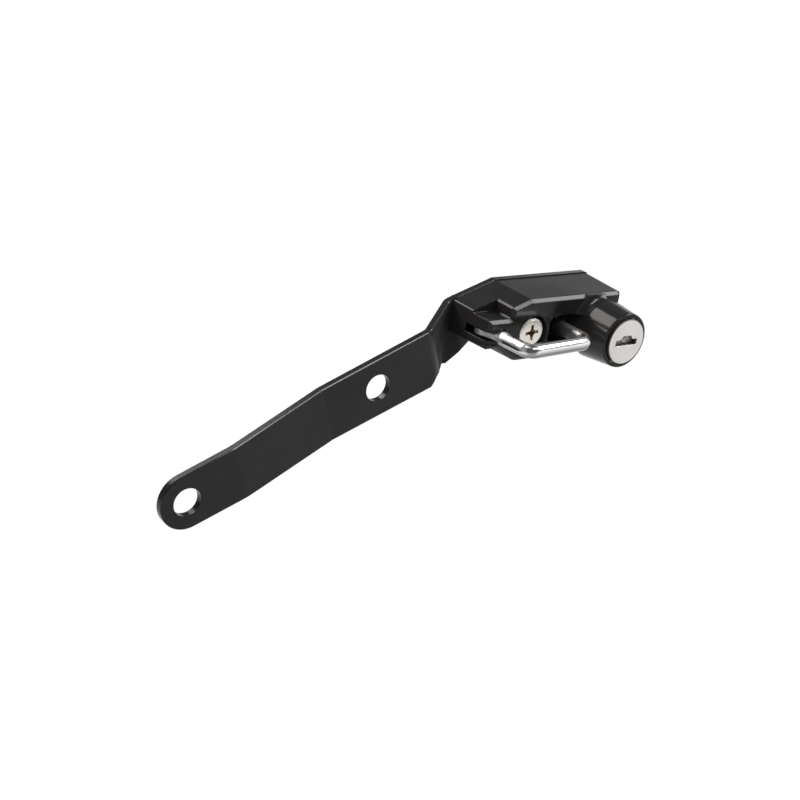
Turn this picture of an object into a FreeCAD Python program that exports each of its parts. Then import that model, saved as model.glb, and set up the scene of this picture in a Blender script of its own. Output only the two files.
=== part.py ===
import FreeCAD, Part
import math
import os
from FreeCAD import Vector

# Helmet lock: a bent steel bracket that bolts to a motorcycle frame and carries a die-cast lock body.
# A chrome shackle swings on a pin at one end of the body and is held by a key-driven latch bolt.
# Row frame: +X runs along the arm towards the lock, -Y is the side with the key face, +Z is up.
# The origin is the centre of the near mounting hole, on the arm's rear mounting face.

# Sheet steel bracket
sheet = 2.3
mount_hole_d = 9.0
hole_pitch = 72.5
arm_width_far = 17.6
arm_width_lock = 19.6
far_step = 5.0
lock_step = 10.0
far_bend_start = -54.0
far_bend_end = -19.5
lock_bend_start = 22.3
lock_bend_middle = 33.4
soft_bend_r = 14.0
crisp_bend_r = 3.0
lock_tilt = 21.0
plate_margin = 0.7
plate_lower_edge = 9.0
plate_heel_x = 38.5
plate_heel_r = 6.0
plate_heel_length = 5.6
plate_top_start = 6.2
seam_overlap = 1.0

# Die-cast housing, in the lock's own axes: u along the body, y as the row, h up from the arm's axis
housing_depth = 19.0
housing_left = 34.0
housing_top = 28.2
facet_length = 16.5
lug_bottom = 12.5
body_bottom = 8.6
lobe_bottom = 7.4
draft = 0.4
end_draft = 1.0
front_edge = 1.1
pocket_edge = 0.5
lobe_from_screw = 2.0
lobe_rise = 5.0
lobe_length = 8.4
lug_slope_end = 5.2
wall = 2.4
pocket_floor = 22.2
pocket_length = 9.2
pocket_depth = 9.0
pocket_corner_r = 0.6
swing_relief = 8.0
relief_left_run = 5.5

# Shackle of round rod with a flattened pivot eye
rod_d = 4.7
shackle_h = 16.7
pivot_from_left = 4.4
pivot_inset = 6.5
shackle_reach = 13.8
bar_slant = 1.8
leg_lean = 1.4
shackle_width = 28.7
leg_tip_y = 2.6
left_bend_r = 2.8
right_bend_r = 4.0
eye_r = 3.7
eye_thickness = 2.3
eye_neck = 6.9
eye_edge_r = 0.5
pivot_pin_d = 3.0
shackle_swing = 75.0

# Recess in the front face that takes the shackle's free leg
recess_reach = 6.7
recess_top = 21.8
recess_bottom = 11.8
recess_depth = 5.0
recess_corner_r = 2.6
recess_edge = 0.4

# Lock barrel and cylinder
leg_to_barrel = 15.3
barrel_to_end = 8.6
barrel_h = 16.1
barrel_r = 9.4
barrel_base_r = 10.7
barrel_length = 13.2
barrel_foot_r = 14.2
barrel_foot_length = 4.0
sleeve_wall = 1.4
sleeve_bore_r = 6.65
ledge_r = 7.0
plug_r = 6.6
plug_head_r = 7.4
plug_head_length = 1.4
cap_r = 7.86
cap_sheet = 0.5
cap_proud = 0.9
cap_slot_r = 0.15
barrel_mouth_r = 0.5
key_slot_half = 4.8
key_slot_low = -1.2
key_slot_high = 0.8
key_hump_high = 2.1
key_hump_top_half = 1.65
key_hump_foot_half = 2.8
wafer_count = 5
wafer_pitch = 2.3
wafer_thickness = 0.9
wafer_half_height = 3.3
shutter_rise = 2.9
shutter_drop = 1.7
shutter_behind_face = 1.7
shutter_boss_r = 1.15
shutter_boss_proud = 0.8
shutter_boss_rise = 0.3
shutter_half = 5.2
shutter_sheet = 0.5
shutter_pin_r = 0.45
shutter_pin_past = 0.5
journal_r = 4.9
clip_sheet = 0.7
sleeve_pin_r = 1.0
sleeve_slot_start = 4.0

# Latch works behind the barrel
latch_travel = 2.5
latch_turn = 90.0
latch_thickness = 3.0
latch_half_height = 4.2
latch_overhang = 6.2
notch_depth = 2.0
nose_half_height = 2.0
nose_length = 2.6
crank_pin_r = 1.2
cam_r = 4.2
cam_thickness = 1.2
cam_web = 0.45
tail_square = 3.4
cover_sheet = 1.0
cover_border = 2.8
cover_screw_r = 0.9
cover_screw_from_edge = 1.5
cover_screw_from_axis = 4.4
cover_screw_depth = 1.0
dowel_r = 1.5
dowel_from_left = 5.0
dowel_from_barrel = 10.0
dowel_from_top = 2.6

# M6 fixing screw and its seat
pivot_to_screw = 15.2
screw_h = 16.5
screw_head_r = 5.25
screw_head_height = 3.5
screw_shank_r = 2.95
screw_sunk = 0.9
seat_r = 6.0
seat_edge = 0.35

# Clearances
running_gap = 0.05
slide_gap = 0.1
loose_gap = 0.3
press_gap = 0.01
beyond = 40.0

# Places along the body, each worked out from its neighbour
pivot_u = housing_left + pivot_from_left
screw_u = pivot_u + pivot_to_screw
leg_u = pivot_u + shackle_width
barrel_u = leg_u + leg_to_barrel
housing_right = barrel_u + barrel_to_end
crease_u = housing_left + facet_length
pocket_right = housing_left + pocket_length
recess_left = leg_u - recess_reach
latch_tail = barrel_u + latch_overhang
tilt_sin = math.sin(math.radians(lock_tilt))
tilt_cos = math.cos(math.radians(lock_tilt))
left_top = (arm_width_lock / 2 - plate_margin + housing_left * tilt_sin) / tilt_cos

# Depths along Y, all worked out from the sheet, the steps and the housing
rear_face = lock_step
plate_face = rear_face - sheet
front_face = plate_face - housing_depth
recess_floor = front_face + recess_depth
pivot_y = front_face + pivot_inset
rim_face = front_face - barrel_length
cap_face = rim_face - cap_proud
head_front = cap_face + cap_sheet
head_back = head_front + plug_head_length
sleeve_front = head_back + slide_gap
ledge_front = recess_floor - 0.2
latch_front = recess_floor + 2.9
latch_back = latch_front + latch_thickness
works_front = latch_front - slide_gap
cover_front = latch_back + slide_gap
sleeve_r = sleeve_bore_r + sleeve_wall
barrel_bore_r = sleeve_r + running_gap
rod_r = rod_d / 2
crank_r = latch_travel / (2 * math.sin(math.radians(latch_turn / 2)))


def prism(outline, y_front, y_back):
    """Solid between two depths from a closed wire drawn at y = 0."""
    face = Part.Face(outline)
    face.translate(Vector(0, y_front, 0))
    return face.extrude(Vector(0, y_back - y_front, 0))


def rounded_edges(points, radii, closed, place):
    """Lines joined by tangent arcs; place turns a flat point into a Vector."""
    n = len(points)
    starts = []
    arcs = []
    for i in range(n):
        p = points[i]
        if radii[i] == 0 or (not closed and i in (0, n - 1)):
            starts.append((p, p))
            arcs.append(None)
            continue
        a = points[i - 1]
        b = points[(i + 1) % n]
        da = math.hypot(a[0] - p[0], a[1] - p[1])
        db = math.hypot(b[0] - p[0], b[1] - p[1])
        ua = ((a[0] - p[0]) / da, (a[1] - p[1]) / da)
        ub = ((b[0] - p[0]) / db, (b[1] - p[1]) / db)
        half = math.acos(max(-1, min(1, ua[0] * ub[0] + ua[1] * ub[1]))) / 2
        cut = radii[i] / math.tan(half)
        t1 = (p[0] + ua[0] * cut, p[1] + ua[1] * cut)
        t2 = (p[0] + ub[0] * cut, p[1] + ub[1] * cut)
        bis = (ua[0] + ub[0], ua[1] + ub[1])
        size = math.hypot(bis[0], bis[1])
        reach = radii[i] / math.sin(half) - radii[i]
        mid = (p[0] + bis[0] / size * reach, p[1] + bis[1] / size * reach)
        starts.append((t1, t2))
        arcs.append((t1, mid, t2))
    edges = []
    last = n if closed else n - 1
    for i in range(n):
        if arcs[i]:
            t1, mid, t2 = arcs[i]
            edges.append(Part.Arc(place(t1), place(mid), place(t2)).toShape())
        if i < last:
            edges.append(Part.makeLine(place(starts[i][1]), place(starts[(i + 1) % n][0])))
    return edges


def flat_wire(points, radii, y=0.0):
    """Closed wire in a plane of constant depth."""
    return Part.Wire(rounded_edges(points, radii, True, lambda p: Vector(p[0], y, p[1])))


def polygon(points, y=0.0):
    return flat_wire(points, [0] * len(points), y)


def block(u0, u1, y0, y1, h0, h1):
    return Part.makeBox(u1 - u0, y1 - y0, h1 - h0, Vector(u0, y0, h0))


def round_y(u, h, r, y0, y1):
    """Cylinder along Y."""
    return Part.makeCylinder(r, y1 - y0, Vector(u, y0, h), Vector(0, 1, 0))


def round_h(u, y, r, h0, h1):
    """Cylinder along the lock's upward axis."""
    return Part.makeCylinder(r, h1 - h0, Vector(u, y, h0), Vector(0, 0, 1))


def in_row(shape):
    """Turns a shape from the lock's own axes to the row's axes."""
    turned = shape.copy()
    turned.rotate(Vector(0, 0, 0), Vector(0, 1, 0), lock_tilt)
    return turned


def lock_point(x, z):
    """Lock coordinates of a point that is known in the row's X and Z."""
    return (x * tilt_cos - z * tilt_sin, x * tilt_sin + z * tilt_cos)


def middle_normal(face):
    u0, u1, v0, v1 = face.ParameterRange
    return face.normalAt((u0 + u1) / 2, (v0 + v1) / 2)


def true_planes(shape):
    """Gives a ruled solid plane faces wherever its faces are flat."""
    faces = []
    for face in shape.Faces:
        if face.findPlane() and not isinstance(face.Surface, Part.Plane):
            corners = [v.Point for v in face.OuterWire.OrderedVertexes]
            flat = Part.Face(Part.makePolygon(corners + corners[:1]))
            if middle_normal(flat).dot(middle_normal(face)) < 0:
                flat.reverse()
            face = flat
        faces.append(face)
    shell = Part.Shell(faces)
    shell.sewShape()
    solid = Part.Solid(shell)
    if solid.Volume < 0:
        solid.reverse()
    return solid


def offset_outline(points, margin):
    """Mitred offset of a clockwise outline, outwards for a positive margin."""
    out = []
    n = len(points)
    for i in range(n):
        a = points[i - 1]
        p = points[i]
        b = points[(i + 1) % n]
        d1 = (p[0] - a[0], p[1] - a[1])
        d2 = (b[0] - p[0], b[1] - p[1])
        l1 = math.hypot(d1[0], d1[1])
        l2 = math.hypot(d2[0], d2[1])
        n1 = (-d1[1] / l1, d1[0] / l1)
        n2 = (-d2[1] / l2, d2[0] / l2)
        k = margin / (1 + n1[0] * n2[0] + n1[1] * n2[1])
        out.append((p[0] + (n1[0] + n2[0]) * k, p[1] + (n1[1] + n2[1]) * k))
    return out


# The outline of the housing's front, clockwise from the lug's lower corner

lobe_end = screw_u + lobe_from_screw
outline = [(housing_left, lug_bottom), (housing_left, left_top), (crease_u, housing_top),
           (housing_right, housing_top), (housing_right, body_bottom),
           (lobe_end + lobe_rise, body_bottom),
           (lobe_end, lobe_bottom), (lobe_end - lobe_length, lobe_bottom),
           (housing_left + lug_slope_end, lug_bottom)]
outline_radii = [0.8, 0.8, 1.0, 1.5, 5.0, 6.0, 6.0, 5.0, 1.0]


def bevel_tool(points, radii):
    """Cuts a bevel of the front edge's size round an opening in the front face."""
    wide = [r + front_edge if r else 0 for r in radii]
    grown = flat_wire(offset_outline(points, front_edge), wide, front_face)
    return Part.makeLoft([grown, flat_wire(points, radii, front_face + front_edge)], True, True)


def housing_section(y):
    """Section of the drafted casting at one depth."""
    share = (y - front_face) / housing_depth
    grown = offset_outline(outline, draft * share)
    slanted = [(u + end_draft * share if u > housing_right - 1 else u, h) for u, h in grown]
    return flat_wire(slanted, outline_radii, y)


def strip_section(z):
    """Closed side profile of the bent strip at one height; the second lock bend slants with the body."""
    slant = z * math.tan(math.radians(lock_tilt))
    path = [(-hole_pitch - arm_width_far, -far_step), (far_bend_start, -far_step), (far_bend_end, 0),
            (lock_bend_start, 0), (lock_bend_middle + slant, lock_step),
            (lock_bend_middle + slant + arm_width_lock, lock_step)]
    inner = [0, soft_bend_r, crisp_bend_r, crisp_bend_r, crisp_bend_r, 0]
    front = []
    rear_radii = []
    front_radii = []
    for i, p in enumerate(path):
        before = path[max(i - 1, 0)]
        after = path[min(i + 1, len(path) - 1)]
        d1 = (p[0] - before[0], p[1] - before[1]) if i else (after[0] - p[0], after[1] - p[1])
        d2 = (after[0] - p[0], after[1] - p[1]) if i < len(path) - 1 else d1
        l1 = math.hypot(d1[0], d1[1])
        l2 = math.hypot(d2[0], d2[1])
        n1 = (d1[1] / l1, -d1[0] / l1)
        n2 = (d2[1] / l2, -d2[0] / l2)
        k = sheet / (1 + n1[0] * n2[0] + n1[1] * n2[1])
        front.append((p[0] + (n1[0] + n2[0]) * k, p[1] + (n1[1] + n2[1]) * k))
        turns_back = d1[0] * d2[1] - d1[1] * d2[0] > 0
        rear_radii.append(inner[i] if turns_back or not inner[i] else inner[i] + sheet)
        front_radii.append(inner[i] + sheet if turns_back and inner[i] else inner[i])

    def at_height(p):
        return Vector(p[0], p[1], z)

    edges = rounded_edges(path, rear_radii, False, at_height)
    edges.append(Part.makeLine(at_height(path[-1]), at_height(front[-1])))
    edges += rounded_edges(front[::-1], front_radii[::-1], False, at_height)
    edges.append(Part.makeLine(at_height(front[0]), at_height(path[0])))
    return Part.Wire(edges)


def bracket():
    """One stamped and bent sheet: the arm, both joggles and the plate that carries the lock."""
    reach = arm_width_lock * 0.75
    strip = true_planes(Part.makeLoft([strip_section(-reach), strip_section(reach)], True, True))
    end_r = arm_width_far / 2
    half = arm_width_lock / 2
    to_corner = math.hypot(lock_bend_start + hole_pitch, half)
    tangent = math.atan2(half, lock_bend_start + hole_pitch) + math.acos(end_r / to_corner)
    tx = -hole_pitch + end_r * math.cos(tangent)
    tz = end_r * math.sin(tangent)
    far = lock_bend_middle + arm_width_lock
    edges = [Part.Arc(Vector(tx, 0, -tz), Vector(-hole_pitch - end_r, 0, 0), Vector(tx, 0, tz)).toShape(),
             Part.makeLine(Vector(tx, 0, tz), Vector(lock_bend_start, 0, half)),
             Part.makeLine(Vector(lock_bend_start, 0, half), Vector(far, 0, half)),
             Part.makeLine(Vector(far, 0, half), Vector(far, 0, -half)),
             Part.makeLine(Vector(far, 0, -half), Vector(lock_bend_start, 0, -half)),
             Part.makeLine(Vector(lock_bend_start, 0, -half), Vector(tx, 0, -tz))]
    arm = strip.common(prism(Part.Wire(edges), -far_step - 3 * sheet, lock_step + sheet))
    seam = housing_left + seam_overlap
    arm = arm.cut(in_row(block(seam, seam + beyond, -beyond, beyond, -beyond, beyond)))
    top = offset_outline(outline, plate_margin)
    heel = lock_point(plate_heel_x, -half)
    low_left = lock_point(plate_heel_x - plate_heel_length, -half)
    top_left = lock_point(lock_bend_middle + plate_top_start, half)
    right = housing_right + end_draft + plate_margin
    run = heel[0] + (plate_lower_edge - heel[1]) * 1.1
    corners = [low_left, top_left, top[2], (right, top[3][1]), (right, plate_lower_edge),
               (run, plate_lower_edge), heel]
    plate = prism(flat_wire(corners, [0, 0, 2.0, 1.8, 4.0, 1.0, plate_heel_r]), plate_face, rear_face)
    plate = plate.cut(round_y(screw_u, screw_h, screw_shank_r + running_gap, plate_face - 1,
                              rear_face + 1))
    for u, h in dowel_places:
        plate = plate.cut(round_y(u, h, dowel_r + slide_gap, plate_face - 1, rear_face + 1))
    body = arm.fuse(in_row(plate)).removeSplitter()
    for x, rear in ((0, 0), (-hole_pitch, -far_step)):
        body = body.cut(round_y(x, 0, mount_hole_d / 2, rear - 2 * sheet, rear + sheet))
    return body


# Two cast dowels stop the housing from turning about its single screw
dowel_places = [(housing_left + dowel_from_left, shackle_h + dowel_r),
                (barrel_u - dowel_from_barrel, housing_top - dowel_from_top)]


def shackle_path():
    """Centre line of the rod from the eye's neck to the free tip."""
    outer = front_face - shackle_reach
    neck_lean = leg_lean * eye_neck / (pivot_y - outer)
    points = [(pivot_u + neck_lean, pivot_y - eye_neck), (pivot_u + leg_lean, outer),
              (leg_u, outer + bar_slant),
              (leg_u, leg_tip_y)]
    radii = [0, left_bend_r, right_bend_r, 0]
    return Part.Wire(rounded_edges(points, radii, False, lambda p: Vector(p[0], p[1], shackle_h)))


def ends_at(shape, y):
    """Edges of a round rod's end that lie close to one depth."""
    return [e for e in shape.Edges if e.BoundBox.YLength < 0.5 and abs(e.BoundBox.Center.y - y) < 0.2]


def shackle():
    """Round rod bent to a U, flattened to a drilled eye at the pivot and notched at the free leg."""
    path = shackle_path()
    start = path.Edges[0].valueAt(path.Edges[0].FirstParameter)
    ring = Part.Wire(Part.makeCircle(rod_r, start, path.Edges[0].tangentAt(path.Edges[0].FirstParameter)))
    rod = path.makePipeShell([ring], True, False)
    rod = rod.makeFillet(rod_r * 0.7, ends_at(rod, leg_tip_y))
    rod = rod.makeChamfer(rod_r * 0.4, ends_at(rod, start.y))
    low = shackle_h - eye_thickness / 2
    high = shackle_h + eye_thickness / 2
    back = pivot_y - eye_r * 0.2
    half = eye_r * 0.97
    cheek = rod_r * 0.95
    web_points = [(pivot_u - half, back), (pivot_u + half, back), (start.x + cheek, start.y + 0.6),
                  (start.x + rod_r * 0.7, start.y - 1.8), (start.x - rod_r * 0.7, start.y - 1.8),
                  (start.x - cheek, start.y + 0.6)]
    web = [Vector(u, y, low) for u, y in web_points]
    flat = Part.Face(Part.makePolygon(web + web[:1])).extrude(Vector(0, 0, eye_thickness))
    flat = flat.fuse(round_h(pivot_u, pivot_y, eye_r, low, high)).removeSplitter()
    rims = [e for e in flat.Edges if e.BoundBox.ZLength < 0.01 and e.BoundBox.YMax > start.y + 0.7]
    flat = flat.makeFillet(eye_edge_r, rims)
    body = rod.fuse(flat).removeSplitter()
    body = body.cut(round_h(pivot_u, pivot_y, pivot_pin_d / 2 + running_gap, low - 1, high + 1))
    notch = block(leg_u + rod_r - notch_depth, leg_u + 2 * rod_r, latch_front - loose_gap - 0.1,
                  latch_back + loose_gap + 0.1, shackle_h - 2 * rod_r, shackle_h + 2 * rod_r)
    return body.cut(notch)


def barrel_taper(y):
    """Radius of the barrel's tapered outside at one depth."""
    return barrel_r + (barrel_base_r - barrel_r) * (y - rim_face) / (front_face - rim_face)


def barrel_foot():
    """Hollow flare that blends the barrel into the front face on the side of the shackle."""
    tip = front_face - barrel_foot_length
    root = front_face + front_edge + 0.5
    inner = barrel_taper(tip)
    middle = Vector(inner + (barrel_foot_r - inner) * 0.28, front_face - barrel_foot_length * 0.30, 0)
    curve = Part.Arc(Vector(barrel_foot_r, front_face, 0), middle, Vector(inner, tip, 0)).toShape()
    lines = [Part.makeLine(Vector(inner, tip, 0), Vector(0, tip, 0)),
             Part.makeLine(Vector(0, tip, 0), Vector(0, root, 0)),
             Part.makeLine(Vector(0, root, 0), Vector(barrel_foot_r, root, 0)),
             Part.makeLine(Vector(barrel_foot_r, root, 0), Vector(barrel_foot_r, front_face, 0))]
    flare = Part.Face(Part.Wire([curve] + lines)).revolve(Vector(0, 0, 0), Vector(0, 1, 0), 360)
    flare.translate(Vector(barrel_u, 0, barrel_h))
    reach = barrel_foot_r + 1
    return flare.common(block(barrel_u - reach, barrel_u, tip - 1, root, barrel_h, housing_top))


def slot_tool():
    """Space for the shackle's flat eye, open to the lug's end and to the front."""
    low = shackle_h - eye_thickness / 2 - loose_gap
    high = shackle_h + eye_thickness / 2 + loose_gap
    back = pivot_y + eye_r + 1.3
    eye_room = round_h(pivot_u, pivot_y, eye_r + 0.5, low, high)
    lane = block(housing_left - 3, pivot_u, front_face - 3, back, low, high)
    mouth = block(pivot_u - 1, pivot_u + eye_r + 0.5, front_face - 3, pivot_y, low, high)
    relief_low = shackle_h - rod_r - loose_gap
    relief_high = shackle_h + rod_r + loose_gap
    ring = round_h(pivot_u, pivot_y, eye_r + swing_relief, relief_low, relief_high)
    ring = ring.cut(round_h(pivot_u, pivot_y, eye_neck - 0.5, relief_low, relief_high))
    ring = ring.common(block(housing_left - 3, pivot_u + rod_r + 0.4, front_face - 3, pivot_y,
                             relief_low, relief_high))
    return [eye_room, lane, mouth, ring]


def leg_room():
    """Hole behind the recess for the free leg, long enough for the arc that its tip draws."""
    r = rod_r + 0.4
    y0 = recess_floor - 1
    y1 = works_front + 1
    stretch = 0.9
    tools = [round_y(leg_u, shackle_h, r, y0, y1), round_y(leg_u + stretch, shackle_h, r, y0, y1),
             block(leg_u, leg_u + stretch, y0, y1, shackle_h - r, shackle_h + r)]
    return tools


works_left = leg_u - rod_r - 0.8
works_right = latch_tail + 1.6
# The latch bolt reaches over the heights of both the shackle and the key cylinder
latch_low = shackle_h - latch_half_height
latch_high = max(shackle_h, barrel_h) + latch_half_height
works_low = latch_low - slide_gap
works_high = latch_high + slide_gap
cover_left = leg_u + rod_r + 1.6
cover_low = works_low - cover_border
cover_high = works_high + cover_border
cover_screw_u = barrel_u - cover_screw_from_axis
cover_screw_heights = [cover_low + cover_screw_from_edge, cover_high - cover_screw_from_edge]
cover_screw_tip = works_front - cover_screw_depth


def pocket_edges(body):
    """Edges where the pocket's walls meet the slanted facet."""
    slope = (housing_top - left_top) / (crease_u - housing_left)
    found = []
    for edge in body.Edges:
        box = edge.BoundBox
        inside = box.XMin > housing_left + 1 and box.XMax < pocket_right + 0.1
        near = box.YMax < front_face + pocket_depth + 0.1 and box.ZMin > pocket_floor + 0.5
        ends = [abs(v.Z - left_top - (v.X - housing_left) * slope) for v in edge.Vertexes]
        if inside and near and max(ends) < draft + 0.2:
            found.append(edge)
    return found


def lock_housing():
    """Die casting: lug with the shackle's slot, screw seat, recess for the free leg and the barrel."""
    shoulder = housing_section(front_face + front_edge)
    tight = [max(r - front_edge, 0.3) for r in outline_radii]
    nose = flat_wire(offset_outline(outline, -front_edge), tight, front_face)
    body = true_planes(Part.makeLoft([shoulder, housing_section(plate_face)], True, True))
    body = body.fuse(true_planes(Part.makeLoft([nose, shoulder], True, True))).removeSplitter()
    corners = [(housing_left - 3, pocket_floor), (housing_left - 3, housing_top + 2),
               (pocket_right, housing_top + 2), (pocket_right, pocket_floor)]
    radii = [0, 0, 0, pocket_corner_r]
    pocket = prism(flat_wire(corners, radii), front_face - 1, front_face + pocket_depth)
    body = body.cut([pocket, bevel_tool(corners, radii)])
    body = body.makeChamfer(pocket_edge, pocket_edges(body))
    hollow_points = [(recess_left, recess_bottom), (recess_left, recess_top), (barrel_u, recess_top),
                     (barrel_u, recess_bottom)]
    corner = recess_corner_r
    hollow = prism(flat_wire(hollow_points, [corner, corner, 0, 0]), front_face - barrel_length,
                   recess_floor)
    corner = recess_corner_r + recess_edge
    grown = flat_wire(offset_outline(hollow_points, recess_edge), [corner, corner, 0, 0], front_face)
    inner = flat_wire(hollow_points, [recess_corner_r, recess_corner_r, 0, 0], front_face + recess_edge)
    rim_cut = Part.makeLoft([grown, inner], True, True)
    body = body.cut([hollow, rim_cut]).fuse(barrel_foot()).cut(hollow)
    barrel = Part.makeCone(barrel_r, barrel_base_r, barrel_length, Vector(barrel_u, rim_face, barrel_h),
                           Vector(0, 1, 0))
    body = body.fuse([barrel, round_y(barrel_u, barrel_h, barrel_base_r, front_face, plate_face)])
    lower = block(barrel_u - 2 * barrel_r, barrel_u + 2 * barrel_r, front_face, plate_face + 1,
                  barrel_h - 2 * barrel_r, body_bottom - draft)
    body = body.cut(lower).removeSplitter()
    mouth = [e for e in body.Edges if e.BoundBox.YMax < rim_face + 0.01]
    body = body.makeFillet(barrel_mouth_r, mouth)
    seat = front_face + screw_sunk + screw_head_height
    tools = [round_y(screw_u, screw_h, seat_r, front_face - 1, seat),
             round_y(screw_u, screw_h, screw_shank_r + loose_gap, seat - 1, plate_face + 1),
             Part.makeCone(seat_r + seat_edge, seat_r, seat_edge, Vector(screw_u, front_face, screw_h),
                           Vector(0, 1, 0))]
    tools += slot_tool()
    tools += leg_room()
    tools.append(round_h(pivot_u, pivot_y, pivot_pin_d / 2 + press_gap, lug_bottom - 2,
                         pocket_floor - 1.2))
    tools.append(round_y(barrel_u, barrel_h, barrel_bore_r, rim_face - 1, ledge_front))
    tools.append(round_y(barrel_u, barrel_h, ledge_r, ledge_front - 1, works_front + 1))
    tools.append(block(works_left, works_right, works_front, plate_face + 1, works_low, works_high))
    tools.append(block(works_left, works_right, cover_front, plate_face + 1,
                       cover_low - slide_gap, cover_high + slide_gap))
    for h in cover_screw_heights:
        tools.append(round_y(cover_screw_u, h, cover_screw_r + running_gap, cover_screw_tip - 0.3,
                             plate_face))
    tools.append(round_h(barrel_u, sleeve_pin_y, sleeve_pin_r + press_gap, barrel_h - barrel_r - 1,
                         barrel_h - sleeve_bore_r))
    tools.append(relief_tool())
    body = body.cut(tools)
    pegs = [round_y(u, h, dowel_r, plate_face - 1, plate_face + sheet * 0.85) for u, h in dowel_places]
    return body.fuse(pegs).removeSplitter()


def relief_tool():
    """Rear pocket that keeps the casting's walls even round the screw boss."""
    inner = offset_outline(outline, -wall)
    left = pivot_u + eye_r + 0.5 + wall
    right = recess_left - wall * 0.4
    floor = front_face + screw_sunk + screw_head_height + wall
    slope = (inner[2][1] - inner[1][1]) / (inner[2][0] - inner[1][0])
    left_high = inner[1][1] + slope * (left - inner[1][0])
    bottom = lobe_bottom + wall
    corners = [(left, lug_bottom + wall), (left, left_high), inner[2], (right + 4, inner[2][1]),
               (right + 4, works_high + wall + 3), (right, works_high + wall), (right, bottom + 1.2),
               (screw_u + 1, bottom), (screw_u - relief_left_run, bottom)]
    pocket = prism(flat_wire(corners, [1] * len(corners)), floor, plate_face + 1)
    return pocket.cut(round_y(screw_u, screw_h, seat_r, floor - 1, plate_face + 2))


sleeve_pin_y = (rim_face + front_face) / 2


def fixing_screw():
    """M6 pan-head screw with a cross recess; its thread is left plain."""
    top = front_face + screw_sunk
    seat = top + screw_head_height
    head = round_y(screw_u, screw_h, screw_head_r, top, seat)
    crown = [e for e in head.Edges if e.BoundBox.YMax < top + 0.01]
    head = head.makeFillet(1.1, crown)
    shank = round_y(screw_u, screw_h, screw_shank_r, seat - 0.5, rear_face + 0.6)
    end = [e for e in shank.Edges if e.BoundBox.YMin > rear_face]
    shank = shank.makeChamfer(0.6, end)
    arm_half = 2.7
    arm_width = 1.15
    depth = 2.2
    root = 1.3
    recess = block(-arm_half, arm_half, top - 1, top + depth * 0.45, -arm_width / 2, arm_width / 2)
    recess = recess.fuse(block(-arm_width / 2, arm_width / 2, top - 1, top + depth * 0.45, -arm_half,
                               arm_half))
    core = Part.makeCone(root * 1.2, root * 0.4, depth + 1, Vector(0, top - 1, 0), Vector(0, 1, 0))
    recess = recess.fuse(core)
    recess.rotate(Vector(0, 0, 0), Vector(0, 1, 0), -5)
    recess.translate(Vector(screw_u, 0, screw_h))
    return head.fuse(shank).removeSplitter().cut(recess)


def pivot_pin():
    low = lug_bottom - draft
    return round_h(pivot_u, pivot_y, pivot_pin_d / 2, low + 0.4, pocket_floor - 1.5)


def cylinder_sleeve():
    """Turned sleeve that lines the barrel and carries the plug."""
    body = round_y(barrel_u, barrel_h, sleeve_r, sleeve_front, ledge_front)
    body = body.cut(round_y(barrel_u, barrel_h, sleeve_bore_r, sleeve_front - 1, ledge_front + 1))
    for side in (-1, 1):
        u = barrel_u + side * (sleeve_bore_r + 0.2)
        body = body.cut(block(u - 0.5, u + 0.5, sleeve_front + sleeve_slot_start, ledge_front - 1,
                              barrel_h - wafer_half_height - 0.2, barrel_h + wafer_half_height + 0.2))
    return body.cut(round_h(barrel_u, sleeve_pin_y, sleeve_pin_r + press_gap, barrel_h - sleeve_r - 1,
                            barrel_h))


def sleeve_retaining_pin():
    return round_h(barrel_u, sleeve_pin_y, sleeve_pin_r, barrel_h - barrel_r + 0.3,
                   barrel_h - sleeve_bore_r - 0.1)


def key_profile(grow, y0, y1):
    """Prism of the keyway: a flat slot with a central hump."""
    s = key_slot_half + grow
    low = key_slot_low - grow
    high = key_slot_high + grow
    top = key_hump_high + grow
    points = [(-s, low), (-s, high), (-key_hump_foot_half - grow, high), (-key_hump_top_half - grow, top),
              (key_hump_top_half + grow, top), (key_hump_foot_half + grow, high), (s, high), (s, low)]
    return prism(polygon([(barrel_u + u, barrel_h + h) for u, h in points]), y0, y1)


shutter_axis_h = barrel_h + shutter_rise
shutter_y = head_front + shutter_behind_face
shutter_low = barrel_h - shutter_drop
shutter_room_back = shutter_y + (shutter_axis_h - shutter_low) + 0.5
wafer_first = shutter_room_back + 1.2
journal_front = ledge_front + slide_gap
clip_front = journal_front + slide_gap
tail_front = clip_front + clip_sheet + 0.6


def wafer_place(i):
    return wafer_first + i * wafer_pitch


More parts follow.
